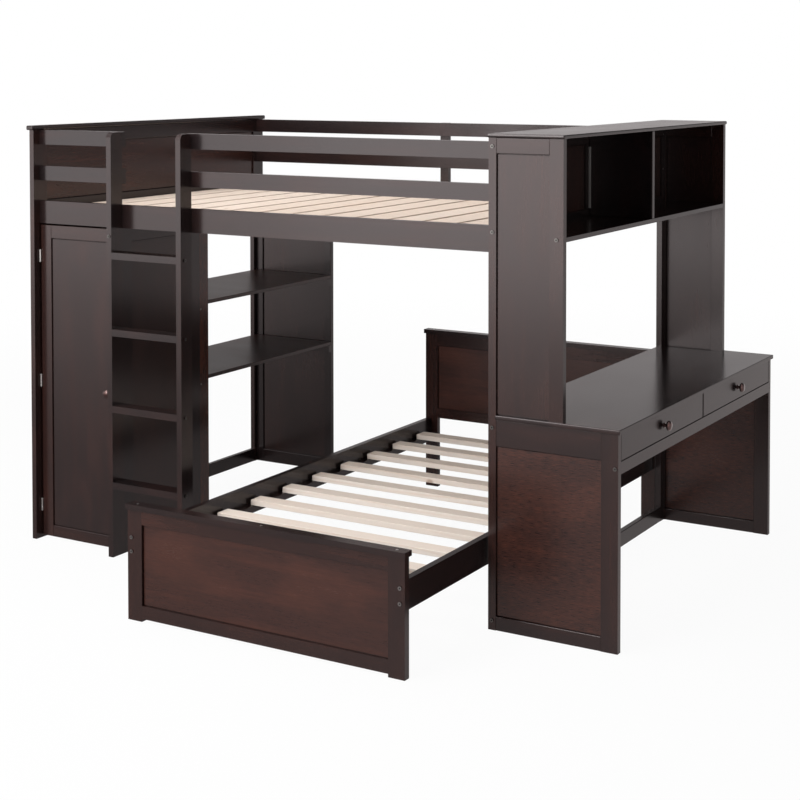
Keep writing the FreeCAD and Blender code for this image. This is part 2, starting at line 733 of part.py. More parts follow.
def tower():
    """The end frame, the two side assemblies on it, the bookcase boards and the desk."""
    panel_z = ("deck_top", CASE_RAIL_Z[0])
    middle_y = about(MID_Y, "middle_upright")
    board("tower_front_post", TOWER_X, TOWER_POSTS_Y[0], ("0", TOWER_TOP))
    board("tower_rear_post", TOWER_X, TOWER_POSTS_Y[1], ("0", TOWER_TOP))
    board("tower_middle_post", TOWER_X, middle_y, panel_z)
    board("tower_floor_rail", TOWER_X, TOWER_INSIDE_Y, ("0", "floor_rail"))
    board("tower_desk_rail", TOWER_X, TOWER_INSIDE_Y, BACK_RAIL_Z)
    board("tower_deck_rail", TOWER_X, TOWER_INSIDE_Y, DECK_Z)
    board("tower_top_rail", TOWER_X, TOWER_INSIDE_Y, CASE_RAIL_Z)
    board("front_case_panel", thin(TOWER_X), (TOWER_INSIDE_Y[0], middle_y[0]), panel_z)
    board("rear_case_panel", thin(TOWER_X), (middle_y[1], TOWER_INSIDE_Y[1]), panel_z)
    case_stile_x = (f"{CASE_X} - case_stile", CASE_X)
    desk_stile_x = (f"{DESK_X} - desk_stile", DESK_X)
    for side, y in SIDES_Y.items():
        case_x = (POST_X[1], case_stile_x[0])
        desk_x = (POST_X[1], desk_stile_x[0])
        side_rail_z = (f"{DESK_LOW} - desk_rail", DESK_LOW)
        board(f"{side}_tall_stile", POST_X, y, ("0", TOWER_TOP))
        board(f"{side}_case_stile", case_stile_x, y, ("desk_top", TOWER_TOP))
        board(f"{side}_desk_stile", desk_stile_x, y, ("0", DESK_LOW))
        board(f"{side}_case_rail", case_x, y, CASE_RAIL_Z)
        board(f"{side}_desk_rail", desk_x, y, side_rail_z)
        board(f"{side}_desk_foot", desk_x, y, ("0", "desk_foot"))
        board(f"{side}_bookcase_panel", case_x, thin(y), ("desk_top", CASE_RAIL_Z[0]))
        board(f"{side}_desk_panel", desk_x, thin(y), ("desk_foot", side_rail_z[0]))
    inner_x = (TOWER_X[1], CASE_X)
    board(
        "bookcase_top",
        ("loft_run - case_lip", f"{CASE_X} + case_lip"),
        ("0 - case_lip", "loft_depth + case_lip"),
        (TOWER_TOP, f"{TOWER_TOP} + case_top"),
    )
    board("bookcase_shelf", inner_x, BETWEEN_SIDES_Y, CASE_Z)
    board("bookcase_divider", inner_x, about(MID_Y, "divider"), (CASE_Z[1], TOWER_TOP))
    over_y = ("0 - desk_lip", "loft_depth + desk_lip")
    blank = board("desk_blank", ("loft_run", f"{DESK_X} + desk_lip"), over_y, DESK_Z)
    notches = [
        board("front_post_notch", POST_X, (over_y[0], SIDES_Y["front"][1]), DESK_Z),
        board("rear_post_notch", POST_X, (SIDES_Y["rear"][0], over_y[1]), DESK_Z),
        board("front_frame_notch", TOWER_X, TOWER_POSTS_Y[0], DESK_Z),
        board("rear_frame_notch", TOWER_X, TOWER_POSTS_Y[1], DESK_Z),
    ]
    PIECES["desk_top"] = cut("desk_top_board", blank, notches)
    board("desk_apron", FRONT_X, BETWEEN_SIDES_Y, APRON_Z)


def drawers():
    """Two shallow drawers that run on strips between the desk's sides and a middle web."""
    run_x = (TOWER_X[1], FRONT_X[0])
    web_y = about(MID_Y, "web")
    board("drawer_web", run_x, web_y, (APRON_Z[1], DESK_LOW))
    strip_z = ("runner_low", "runner_low + runner_high")
    front_z = (f"{APRON_Z[1]} + front_gap", f"{DESK_LOW} - front_gap")
    bays = {
        "left": (BETWEEN_SIDES_Y[0], web_y[0]),
        "right": (web_y[1], BETWEEN_SIDES_Y[1]),
    }
    fronts = {
        "left": (f"{BETWEEN_SIDES_Y[0]} + front_gap", f"{MID_Y} - front_split / 2"),
        "right": (f"{MID_Y} + front_split / 2", f"{BETWEEN_SIDES_Y[1]} - front_gap"),
    }
    for side, (near, far) in bays.items():
        name = f"drawer_{side}"
        board(f"{name}_near_strip", run_x, (near, f"{near} + runner_wide"), strip_z)
        board(f"{name}_far_strip", run_x, (f"{far} - runner_wide", far), strip_z)
        board(f"{name}_front", FRONT_X, fronts[side], front_z)
        box_x = (f"{TOWER_X[1]} + drawer_back", FRONT_X[0])
        box_y = (f"{near} + drawer_gap", f"{far} - drawer_gap")
        inside_y = (f"{box_y[0]} + drawer_side", f"{box_y[1]} - drawer_side")
        box_z = (f"{strip_z[1]} + runner_ease", f"{DESK_LOW} - drawer_drop")
        board(f"{name}_near_side", box_x, (box_y[0], inside_y[0]), box_z)
        board(f"{name}_far_side", box_x, (inside_y[1], box_y[1]), box_z)
        board(f"{name}_back", (box_x[0], f"{box_x[0]} + drawer_side"), inside_y, box_z)
        base_z = (f"{box_z[0]} + base_lift", f"{box_z[0]} + base_lift + drawer_base")
        board(f"{name}_base", (f"{box_x[0]} + drawer_side", box_x[1]), inside_y, base_z)
        at = (DESK_X, middle(fronts[side]), middle(front_z))
        FITTINGS[f"{name}_knob"] = [copy(f"{name}_knob_turned", KNOB, at, TO_RIGHT)]


def twin_end(name, y, top, head_rail, low, low_rail):
    """One end of the twin bed: two posts, two rails, a panel and a cap."""
    for side, x in zip(("left", "right"), TWIN_STILES_X):
        board(f"{name}_{side}_post", x, y, ("0", top))
    high_z = (f"{top} - {head_rail}", top)
    low_z = (low, f"{low} + {low_rail}")
    board(f"{name}_high_rail", TWIN_INSIDE_X, y, high_z)
    board(f"{name}_low_rail", TWIN_INSIDE_X, y, low_z)
    board(f"{name}_panel", TWIN_INSIDE_X, thin(y), (low_z[1], high_z[0]))
    cap_x = (f"{TWIN_LEFT} - twin_side_lip", f"{TWIN_RIGHT} + twin_side_lip")
    board(
        f"{name}_cap",
        cap_x,
        (f"{y[0]} - twin_lip", f"{y[1]} + twin_lip"),
        (top, f"{top} + cap_thick"),
    )
    screws = {
        f"{name}_left_post": f"{cap_x[0]} + screw_edge",
        f"{name}_high_rail": middle(cap_x),
        f"{name}_right_post": f"{cap_x[1]} - screw_edge",
    }
    for under, place in screws.items():
        at = (place, middle(y), f"{top} + cap_thick")
        fasten("twin_screws", "screw", at, UP, (f"{name}_cap", under))


def twin_bed():
    """The low bed that stands crosswise under the loft."""
    twin_end("footboard", TWIN_FOOT_Y, "twin_foot_high", "twin_foot_rail", "twin_kick", "twin_kick_rail")
    twin_end("headboard", TWIN_HEAD_Y, "twin_head_high", "twin_head_rail", "twin_head_low", "twin_low_rail")
    run_y = (TWIN_FOOT_Y[1], TWIN_HEAD_Y[0])
    cleat_z = ("twin_cleat_low", "twin_cleat_low + twin_cleat")
    cleats_x = (
        (TWIN_RAILS_X[0][1], f"{TWIN_RAILS_X[0][1]} + twin_cleat"),
        (f"{TWIN_RAILS_X[1][0]} - twin_cleat", TWIN_RAILS_X[1][0]),
    )
    for side, x, cleat_x in zip(("left", "right"), TWIN_RAILS_X, cleats_x):
        board(f"twin_{side}_rail", x, run_y, TWIN_RAIL_Z)
        board(f"twin_{side}_cleat", cleat_x, run_y, cleat_z)
        ends = (("footboard", TWIN_FOOT_Y[0], TO_FRONT), ("headboard", TWIN_HEAD_Y[1], TO_BACK))
        for end, face, turn in ends:
            for number in range(2):
                height = f"twin_rail_low + twin_bolt_low + {number} * twin_bolt_pitch"
                boards = (f"{end}_{side}_post", f"twin_{side}_rail")
                fasten("twin_bolts", "bolt", (middle(x), face, height), turn, boards)
    slat_x = (f"{cleats_x[0][0]} + twin_slat_ease", f"{cleats_x[1][1]} - twin_slat_ease")
    for number in range(TWIN_SLATS):
        centre = f"{TWIN_FRONT} + twin_slat_first + {number} * {TWIN_PITCH}"
        board(
            f"twin_slat_{number + 1}",
            slat_x,
            (f"{centre} - twin_slat / 2", f"{centre} + twin_slat / 2"),
            (cleat_z[1], f"{cleat_z[1]} + slat_thick"),
        )


def frame_fasteners():
    """The bolts and screws that hold the loft's frames, rails and boards together."""
    ends = {
        "front": (f"{middle(RAIL_Y)}", "0", TO_FRONT),
        "rear": (f"{middle(REAR_RAIL_Y)}", FAR_Y, TO_BACK),
    }
    rails = {
        "front": ("front_side_rail", "left_low_guard", "left_high_guard"),
        "rear": ("rear_side_rail", "rear_low_guard", "rear_high_guard"),
    }
    far_rails = {
        "front": ("front_side_rail", "right_low_guard", "right_high_guard"),
        "rear": ("rear_side_rail", "rear_low_guard", "rear_high_guard"),
    }
    heights = (f"{DECK_LOW} + deck_bolt", middle(LOW_GUARD_Z), middle(HIGH_GUARD_Z))
    for side, (y, face, turn) in ends.items():
        for height, near, far in zip(heights, rails[side], far_rails[side]):
            fasten("frame_bolts", "bolt", ("0", y, height), TO_LEFT, (f"left_{side}_post", near))
            deck_level = height == heights[0]
            kind = ("frame_bolts", "bolt") if deck_level else ("frame_screws", "screw")
            fasten(*kind, (TOWER_X[1], y, height), TO_RIGHT, (f"tower_{side}_post", far))
        tower_heights = (
            "bolt_edge",
            f"{DESK_LOW} - desk_bolt",
            f"{CASE_Z[1]} + case_bolt",
            f"{TOWER_TOP} - top_bolt",
        )
        for height in tower_heights:
            boards = (f"{side}_tall_stile", f"tower_{side}_post")
            fasten("frame_bolts", "bolt", (middle(POST_X), face, height), turn, boards)
        at = (f"{CASE_X} - case_stile / 2", face, middle(CASE_Z))
        fasten("frame_bolts", "bolt", at, turn, (f"{side}_case_stile", "bookcase_shelf"))
        at = (middle(FRONT_X), face, middle(APRON_Z))
        fasten("frame_bolts", "bolt", at, turn, (f"{side}_desk_stile", "desk_apron"))
    posts = {"left": UNIT_X, "right": RIGHT_POST_X}
    for side, x in posts.items():
        for height, board_name in zip(heights[1:], (f"{side}_low_guard", f"{side}_high_guard")):
            at = (middle(x), RAIL_Y[1], height)
            fasten("frame_screws", "screw", at, TO_BACK, (board_name, f"{side}_ladder_post"))
        at = (middle(x), RAIL_Y[1], f"{SLAT_TOP} + screw_head")
        fasten("frame_screws", "screw", at, TO_BACK, ("front_side_rail", f"{side}_ladder_post"))
    for height, rail in zip(heights, rails["rear"]):
        at = (middle(LOFT_X), f"{REAR_RAIL_Y[1]} + stock", height)
        fasten("frame_screws", "screw", at, TO_BACK, ("rear_batten", rail))


KNOB = knob_master()
HINGE = hinge_masters()
left_end()
deck()
guard_rails()
wardrobe()
ladder()
door()
shelves()
tower()
drawers()
twin_bed()
frame_fasteners()

SIDES = ("left", "right")
TWIN_ENDS = ("footboard", "headboard")
NODES = {
    "left_end_posts": ["left_front_post", "left_rear_post", "left_middle_post"],
    "left_end_rails": ["left_floor_rail", "left_deck_rail", "left_head_rail"],
    "left_end_cap": ["left_cap"],
    "left_end_panels": ["head_panel", "wall_panel"],
    "side_rails": ["front_side_rail", "rear_side_rail"],
    "front_guard_rails": ["left_low_guard", "left_high_guard", "right_low_guard", "right_high_guard"],
    "rear_guard_rails": ["rear_low_guard", "rear_high_guard"],
    "rear_guard_batten": ["rear_batten"],
    "deck_bearers": ["front_bearer", "rear_bearer", "centre_bearer"],
    "deck_slats": [f"deck_slat_{number + 1}" for number in range(DECK_SLATS)],
    "ladder_posts": ["left_ladder_post", "right_ladder_post"],
    "ladder_rungs": [f"rung_{number + 1}" for number in range(RUNGS)],
    "wardrobe_side_frame": [
        "wardrobe_front_stile",
        "wardrobe_rear_stile",
        "wardrobe_low_rail",
        "wardrobe_high_rail",
    ],
    "wardrobe_side_panel": ["wardrobe_side_panel"],
    "wardrobe_back": ["wardrobe_back"],
    "wardrobe_floor": ["wardrobe_floor"],
    "door_catch": ["door_catch"],
    "shelf_unit_post": ["shelf_unit_post"],
    "shelf_boards": ["low_shelf", "high_shelf"],
    "shelf_cleats": ["low_front_cleat", "low_rear_cleat", "high_front_cleat", "high_rear_cleat"],
    "rear_end_frame": ["rear_left_stile", "rear_right_stile", "rear_low_rail", "rear_high_rail"],
    "rear_end_panel": ["rear_panel"],
    "door_frame": ["door_hinge_stile", "door_free_stile", "door_low_rail", "door_high_rail"],
    "door_panel": ["door_panel"],
    "tower_posts": ["tower_front_post", "tower_rear_post", "tower_middle_post"],
    "tower_rails": ["tower_floor_rail", "tower_desk_rail", "tower_deck_rail", "tower_top_rail"],
    "bookcase_back": ["front_case_panel", "rear_case_panel"],
    "tower_side_posts": [f"{side}_{kind}_stile" for side in SIDES_Y for kind in ("tall", "case", "desk")],
    "tower_side_rails": [
        f"{side}_{kind}" for side in SIDES_Y for kind in ("case_rail", "desk_rail", "desk_foot")
    ],
    "bookcase_side_panels": [f"{side}_bookcase_panel" for side in SIDES_Y],
    "desk_side_panels": [f"{side}_desk_panel" for side in SIDES_Y],
    "bookcase_top": ["bookcase_top"],
    "bookcase_shelf": ["bookcase_shelf"],
    "bookcase_divider": ["bookcase_divider"],
    "desk_top": ["desk_top"],
    "desk_apron": ["desk_apron"],
    "drawer_runners": ["drawer_web"]
    + [f"drawer_{side}_{place}_strip" for side in SIDES for place in ("near", "far")],
    "twin_posts": [f"{end}_{side}_post" for end in TWIN_ENDS for side in SIDES],
    "twin_end_rails": [f"{end}_{place}_rail" for end in TWIN_ENDS for place in ("high", "low")],
    "twin_end_panels": [f"{end}_panel" for end in TWIN_ENDS],
    "twin_caps": [f"{end}_cap" for end in TWIN_ENDS],
    "twin_side_rails": ["twin_left_rail", "twin_right_rail"],
    "twin_cleats": ["twin_left_cleat", "twin_right_cleat"],
    "twin_slats": [f"twin_slat_{number + 1}" for number in range(TWIN_SLATS)],
}
for side in SIDES:
    NODES[f"drawer_{side}_front"] = [f"drawer_{side}_front"]
    walls = ("near_side", "far_side", "back", "base")
    NODES[f"drawer_{side}_box"] = [f"drawer_{side}_{wall}" for wall in walls]


def finished(name):
    """A piece with the holes of its fasteners."""
    piece = PIECES[name]
    return cut(f"{name}_drilled", piece, HOLES[name]) if name in HOLES else piece


nodes = []
for label, names in NODES.items():
    nodes.append(together(f"{label}_node", [finished(name) for name in names]))
    nodes[-1].Label = label
for label, fittings in FITTINGS.items():
    nodes.append(together(f"{label}_node", fittings))
    nodes[-1].Label = label
doc.recompute()

for item in doc.Objects:
    if set(item.State) & {"Invalid", "Error"}:
        raise ValueError(f"{item.Label} doesn't recompute")
for item in nodes:
    if item.Shape.isNull() or not item.Shape.isValid():
        raise ValueError(f"{item.Label} has no valid shape")

os.makedirs("parts", exist_ok=True)
for item in nodes:
    item.Shape.exportStep(f"parts/{item.Label}.step")
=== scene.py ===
import json
import math
import random

import bmesh
import bpy
import numpy as np
from mathutils import Matrix, Vector


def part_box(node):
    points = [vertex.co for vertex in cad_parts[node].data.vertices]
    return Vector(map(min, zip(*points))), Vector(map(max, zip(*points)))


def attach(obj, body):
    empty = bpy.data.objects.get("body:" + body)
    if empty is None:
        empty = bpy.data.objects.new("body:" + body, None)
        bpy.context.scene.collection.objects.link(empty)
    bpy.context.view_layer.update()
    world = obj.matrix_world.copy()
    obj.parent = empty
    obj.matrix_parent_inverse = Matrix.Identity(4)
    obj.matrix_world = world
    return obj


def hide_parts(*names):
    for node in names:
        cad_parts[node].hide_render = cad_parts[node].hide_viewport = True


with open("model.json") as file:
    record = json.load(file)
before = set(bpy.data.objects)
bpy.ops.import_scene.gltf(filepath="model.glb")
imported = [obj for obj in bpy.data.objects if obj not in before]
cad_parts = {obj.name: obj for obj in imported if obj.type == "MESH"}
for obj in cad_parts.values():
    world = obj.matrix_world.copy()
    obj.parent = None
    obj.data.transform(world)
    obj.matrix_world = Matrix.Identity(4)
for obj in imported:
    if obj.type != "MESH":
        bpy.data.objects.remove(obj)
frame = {"nodes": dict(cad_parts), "record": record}

bl_info = {
    "name": "Loft bed with desk and low bed",
    "version": (1, 0, 0),
    "blender": (4, 5, 0),
    "location": "View3D > Sidebar > Loft bed",
    "description": "Dresses the CAD model of a loft bed in stained wood, pine and steel",
    "category": "Object",
}

X, Y, Z = 0, 1, 2

# Settings


def colour_setting(name, description, default):
    return bpy.props.FloatVectorProperty(
        name=name, description=description, subtype="COLOR", size=3, default=default
    )


def length_setting(name, description, default):
    return bpy.props.FloatProperty(
        name=name, description=description, subtype="DISTANCE", unit="LENGTH", default=default
    )


class WoodSettings(bpy.types.PropertyGroup):
    """Colours and gloss of the stained wood and of the pine."""

    stain: colour_setting("Stain", "Colour of the stained solid wood", (0.0078, 0.0058, 0.0062))
    stain_warm: colour_setting(
        "Stain, thin", "Colour where the stain lets the wood through", (0.0215, 0.0088, 0.0078)
    )
    veneer: colour_setting("Veneer", "Colour of the stained panels", (0.037, 0.0132, 0.0095))
    veneer_warm: colour_setting(
        "Veneer, thin", "Colour of the panels' lighter patches", (0.088, 0.027, 0.015)
    )
    pores: colour_setting("Pores", "Colour of the stained woods' pores", (0.005, 0.0026, 0.0025))
    pine: colour_setting("Pine", "Colour of the raw slats", (0.83, 0.755, 0.69))
    pine_cream: colour_setting(
        "Pine, cream", "Colour of the yellower slats of the upper bed", (0.66, 0.54, 0.45)
    )
    pine_late: colour_setting(
        "Pine, late wood", "Colour of the dark lines of the raw slats", (0.66, 0.47, 0.34)
    )
    pine_knot: colour_setting("Pine, knots", "Colour of the slats' knots", (0.25, 0.12, 0.05))
    # painted shade: the batten's pine, darkened and greyed to stand in for the shade deep in the
    # bookcase
    pine_painted_shade: colour_setting(
        "Pine, painted shade", "Colour of the batten in the bookcase", (0.34, 0.32, 0.31)
    )
    lacquer: bpy.props.FloatProperty(
        name="Lacquer roughness",
        description="Roughness of the clear lacquer on the stained wood",
        subtype="FACTOR",
        min=0.0,
        max=1.0,
        default=0.21,
    )


class MetalSettings(bpy.types.PropertyGroup):
    """Colours of the fittings."""

    steel: colour_setting("Steel", "Colour of the hinges and the hanging rail", (0.55, 0.54, 0.52))
    bolt: colour_setting("Bolts", "Colour of the loft's bolts and screws", (0.12, 0.115, 0.11))
    low_bolt: colour_setting(
        "Bolts, low bed", "Colour of the low bed's bolts", (0.25, 0.24, 0.235)
    )
    # painted shade: this near-black stands in for the shade in the bolts' sockets and round their
    # heads
    socket: colour_setting("Sockets", "Colour inside the bolts' sockets", (0.006, 0.005, 0.005))
    bronze: colour_setting("Bronze", "Colour of the knobs", (0.045, 0.015, 0.012))
    bronze_worn: colour_setting(
        "Bronze, worn", "Colour where the knobs are rubbed", (0.11, 0.038, 0.028)
    )


class TrimSettings(bpy.types.PropertyGroup):
    """Sizes of the small details that are modelled here."""

    edge: length_setting("Board edge", "Width of the softened edges of the boards", 0.0021)
    metal_edge: length_setting("Metal edge", "Width of the softened edges of the fittings", 0.0005)
    groove: length_setting("Groove", "Width of the shadow line round the panels", 0.0025)
    groove_deep: length_setting("Groove depth", "Depth of the shadow line round the panels", 0.003)
    batten: length_setting("Batten", "Width of the bookcase's batten", 0.006)
    batten_deep: length_setting("Batten depth", "Depth of the bookcase's batten", 0.008)


class StageSettings(bpy.types.PropertyGroup):
    """Camera and light."""

    eye: bpy.props.FloatVectorProperty(
        name="Camera",
        description="Place of the camera",
        subtype="TRANSLATION",
        unit="LENGTH",
        size=3,
        default=(3.0829, -4.9836, 1.7864),
    )
    turn: bpy.props.FloatVectorProperty(
        name="Camera turn",
        description="Pitch, roll and yaw of the camera",
        subtype="EULER",
        unit="ROTATION",
        size=3,
        default=(math.radians(88.11), math.radians(0.04), math.radians(30.653)),
    )
    focal_pixels: bpy.props.FloatProperty(
        name="Focal length",
        description="Focal length in pixels of the photograph",
        default=1610.3,
    )
    rise_pixels: bpy.props.FloatProperty(
        name="Rise",
        description="How far above the picture's middle the level of the camera's axis lies",
        default=280.0,
    )
    world: bpy.props.FloatProperty(
        name="World light",
        description="Strength of the even light from all sides",
        min=0.0,
        default=0.22,
    )


# Shader writing


class Wire:
    """A socket's output that can be written in sums, and the tree that it is in."""

    def __init__(self, tree, socket):
        self.tree = tree
        self.socket = socket

    def math(self, operation, other=None, flip=False):
        values = [self] if other is None else [self, other]
        if flip:
            values.reverse()
        return self.tree.node("ShaderNodeMath", {"operation": operation}, *values)

    def __add__(self, other):
        return self.math("ADD", other)

    __radd__ = __add__

    def __mul__(self, other):
        return self.math("MULTIPLY", other)

    __rmul__ = __mul__

    def __sub__(self, other):
        return self.math("SUBTRACT", other)

    def __rsub__(self, other):
        return self.math("SUBTRACT", other, flip=True)

    def __pow__(self, other):
        return self.math("POWER", other)

    def clamped(self):
        return self.tree.node("ShaderNodeMath", {"operation": "ADD", "use_clamp": True}, self, 0.0)

    def above(self, low, high):
        """Rises smoothly from 0 at low to 1 at high, and is level outside them."""
        settings = {"interpolation_type": "SMOOTHSTEP"}
        ends = {"From Min": low, "From Max": high}
        return self.tree.node("ShaderNodeMapRange", settings, Value=self, **ends)


OTHER_SOCKETS = [None] * 5  # those of a Mix node that colours don't use
COLOUR_OUTPUT = 2


class Tree:
    """A node tree that is written from its nodes."""

    def __init__(self, tree):
        self.nodes = tree.nodes
        self.links = tree.links

    def node(self, kind, settings=None, *values, output=0, **named):
        """Adds a node, sets it, feeds its sockets, but for None, and gives its output."""
        node = self.nodes.new(kind)
        for key, value in (settings or {}).items():
            setattr(node, key, value)
        for key, value in list(enumerate(values)) + list(named.items()):
            if value is not None:
                self.feed(node.inputs[key], value)
        return Wire(self, node.outputs[output])

    def feed(self, socket, value):
        if isinstance(value, Wire):
            self.links.new(value.socket, socket)
        elif socket.type == "RGBA" and len(value) == 3:
            socket.default_value = (*value, 1.0)
        else:
            socket.default_value = value

    def mix(self, factor, first, second):
        """Mixes two colours."""
        values = (factor, *OTHER_SOCKETS, first, second)
        return self.node("ShaderNodeMix", {"data_type": "RGBA"}, *values, output=COLOUR_OUTPUT)

    def noise(self, place, scale, detail, rough, distortion=0.0):
        return self.node(
            "ShaderNodeTexNoise",
            Vector=place,
            Scale=scale,
            Detail=detail,
            Roughness=rough,
            Distortion=distortion,
        )

    def vector(self, operation, *values, output="Vector"):
        return self.node("ShaderNodeVectorMath", {"operation": operation}, *values, output=output)

    def part(self, vector, axis):
        """A vector's part along X, Y or Z."""
        return self.node("ShaderNodeSeparateXYZ", {}, vector, output=axis)

    def object_place(self):
        return self.node("ShaderNodeTexCoord", output="Object")

    def bump(self, height, strength, distance):
        return self.node("ShaderNodeBump", Height=height, Strength=strength, Distance=distance)

    def ray(self, kind):
        """1 for light rays of one kind, and 0 for the others."""
        return self.node("ShaderNodeLightPath", output=f"Is {kind} Ray")


class Finish(Tree):
    """A material, and its shader."""

    def __init__(self, name):
        self.material = bpy.data.materials.new(name)
        self.material.use_nodes = True
        super().__init__(self.material.node_tree)
        self.shader = self.nodes["Principled BSDF"]

    def set(self, **sockets):
        for key, value in sockets.items():
            self.feed(self.shader.inputs[key.replace("_", " ")], value)


def board_place(finish):
    """A point's place on its own board: along the grain, across it, and through it."""
    return finish.node("ShaderNodeAttribute", {"attribute_name": "board"}, output="Vector")


def board_look(finish):
    """How red or cream a board is, how open its pores are, and how matt it is."""
    look = finish.node("ShaderNodeAttribute", {"attribute_name": "look"}, output="Vector")
    return [finish.part(look, axis) for axis in (X, Y, Z)]


# How fine the woods' patterns are along a board, across it and through it, in cells a metre
STREAKS = (1.6, 30.0, 30.0)
CLOUDS = (3.0, 7.0, 7.0)
PORES = (34.0, 420.0, 420.0)
FIBRES = (70.0, 1300.0, 1300.0)
PINE_WAVES = (1.3, 6.0, 6.0)
PINE_CLOUDS = (1.5, 9.0, 9.0)
PINE_FIBRES = (14.0, 700.0, 700.0)
PINE_KNOTS = (2.6, 7.0, 3.0)
STEEL_CELLS = 240.0  # the wear on metal is as fine all ways
BRONZE_CELLS = 180.0
RING_RATE = 620.0  # growth rings across a board, in radians a metre
RING_WAVE = 0.055  # how far the growth rings waver, in metres
RING_LEAN = 0.5  # how much the rings cross a board's thickness too
RING_SHARPNESS = 3.0

MIDDLE = 0.5  # of a noise

# Where a pattern begins to show, and where it shows in full
CLOUD_EDGE = (0.42, 0.72)
STREAK_EDGE = (0.46, 0.78)
RED_PORE_EDGE = (0.52, 0.70)
DARK_PORE_EDGE = (0.47, 0.32)
PINE_CLOUD_EDGE = (0.4, 0.75)
PINE_FIBRE_EDGE = (0.55, 0.8)
KNOT_EDGE = (0.060, 0.030)
STEEL_WEAR_EDGE = (0.5, 0.75)
BRONZE_WEAR_EDGE = (0.45, 0.75)

# How much of each pattern shows
PATCHES = 0.40
LEAST_PORES = 0.10
MORE_PORES = 0.75  # added where they are open
LEAST_RINGS = 0.15
MORE_RINGS = 0.45  # added in clouds
PINE_FIBRE_LINES = 0.12
KNOT_DARKNESS = 0.6
STEEL_WEAR = 0.4
WORN_STEEL = 0.6  # its colour, in shares of the bright steel's

# How much the patterns change the gloss, and the height and strength of their relief
FIBRE_GLOSS = 0.06
CLOUD_GLOSS = 0.08
FIBRE_RELIEF = 0.2
WOOD_RELIEF = {"strength": 0.22, "distance": 0.0006}
PINE_FIBRE_GLOSS = 0.15
PINE_FIBRE_RELIEF = 0.6
RING_RELIEF = 0.4
PINE_RELIEF = {"strength": 0.12, "distance": 0.001}
STEEL_GLOSS = 0.2
BRONZE_GLOSS = 0.08

# What is the same all over a finish
LACQUER_TINT = (1.0, 0.92, 0.92)
PINE_ROUGHNESS = 0.62
STEEL_ROUGHNESS = 0.28
BOLT_ROUGHNESS = 0.30
SOCKET_ROUGHNESS = 0.6
BRONZE_ROUGHNESS = 0.12
BRONZE_METAL = 0.9


def grain_noise(finish, cells, detail, rough, distortion=0.0):
    """Noise on a board, as fine along each of its axes as the cells say."""
    place = finish.vector("MULTIPLY", board_place(finish), cells)
    return finish.noise(place, 1.0, detail, rough, distortion)


def stained_wood(name, wood):
    """Stained and lacquered wood, redder, more open-pored or more matt board by board."""
    finish = Finish(name)
    tone, pores, matt = board_look(finish)
    streak = grain_noise(finish, STREAKS, detail=4.0, rough=0.6)
    cloud = grain_noise(finish, CLOUDS, detail=3.0, rough=0.5, distortion=0.4)
    pore = grain_noise(finish, PORES, detail=3.0, rough=0.6)
    fibre = grain_noise(finish, FIBRES, detail=2.0, rough=0.5)
    dark = finish.mix(tone, tuple(wood.stain), tuple(wood.veneer))
    warm = finish.mix(tone, tuple(wood.stain_warm), tuple(wood.veneer_warm))
    patches = cloud.above(*CLOUD_EDGE) * PATCHES + streak.above(*STREAK_EDGE) * PATCHES
    pore_depth = pores * MORE_PORES + LEAST_PORES
    colour = finish.mix(patches + pore.above(*RED_PORE_EDGE) * pore_depth, dark, warm)
    colour = finish.mix(pore.above(*DARK_PORE_EDGE) * pore_depth, colour, tuple(wood.pores))
    wear = (fibre - MIDDLE) * FIBRE_GLOSS + (cloud - MIDDLE) * CLOUD_GLOSS
    relief = fibre * FIBRE_RELIEF + pore * pore_depth
    finish.set(
        Base_Color=colour,
        Roughness=wear + (matt + wood.lacquer),
        Normal=finish.bump(relief, **WOOD_RELIEF),
        Specular_Tint=LACQUER_TINT,
    )
    return finish.material


def raw_pine(name, wood, early_wood, cream_wood, late_wood):
    """Planed pine with growth rings, a few knots and raw fibres."""
    finish = Finish(name)
    place = board_place(finish)
    wave = grain_noise(finish, PINE_WAVES, detail=2.0, rough=0.5)
    depth = finish.part(place, Y) + finish.part(place, Z) * RING_LEAN + wave * RING_WAVE
    rings = ((depth * RING_RATE).math("SINE") * 0.5 + 0.5) ** RING_SHARPNESS
    fibre = grain_noise(finish, PINE_FIBRES, detail=2.0, rough=0.5)
    cloud = grain_noise(finish, PINE_CLOUDS, detail=3.0, rough=0.5)
    ring_share = cloud.above(*PINE_CLOUD_EDGE) * MORE_RINGS + LEAST_RINGS
    late_share = rings * ring_share + fibre.above(*PINE_FIBRE_EDGE) * PINE_FIBRE_LINES
    early = finish.mix(board_look(finish)[0], tuple(early_wood), tuple(cream_wood))
    colour = finish.mix(late_share, early, tuple(late_wood))
    cells = finish.vector("MULTIPLY", place, PINE_KNOTS)
    knot = finish.node("ShaderNodeTexVoronoi", Vector=cells, Scale=1.0)
    knotted = knot.above(*KNOT_EDGE) * KNOT_DARKNESS
    relief = fibre * PINE_FIBRE_RELIEF + rings * RING_RELIEF
    finish.set(
        Base_Color=finish.mix(knotted, colour, tuple(wood.pine_knot)),
        Roughness=(fibre - MIDDLE) * PINE_FIBRE_GLOSS + PINE_ROUGHNESS,
        Normal=finish.bump(relief, **PINE_RELIEF),
    )
    return finish.material


def bright_steel(name, colour, rough):
    """Zinc-plated steel with faint wear."""
    finish = Finish(name)
    wear = finish.noise(finish.object_place(), STEEL_CELLS, detail=3.0, rough=0.6)
    worn = tuple(WORN_STEEL * part for part in colour)
    finish.set(
        Base_Color=finish.mix(wear.above(*STEEL_WEAR_EDGE) * STEEL_WEAR, tuple(colour), worn),
        Metallic=1.0,
        Roughness=(wear - MIDDLE) * STEEL_GLOSS + rough,
    )
    return finish.material


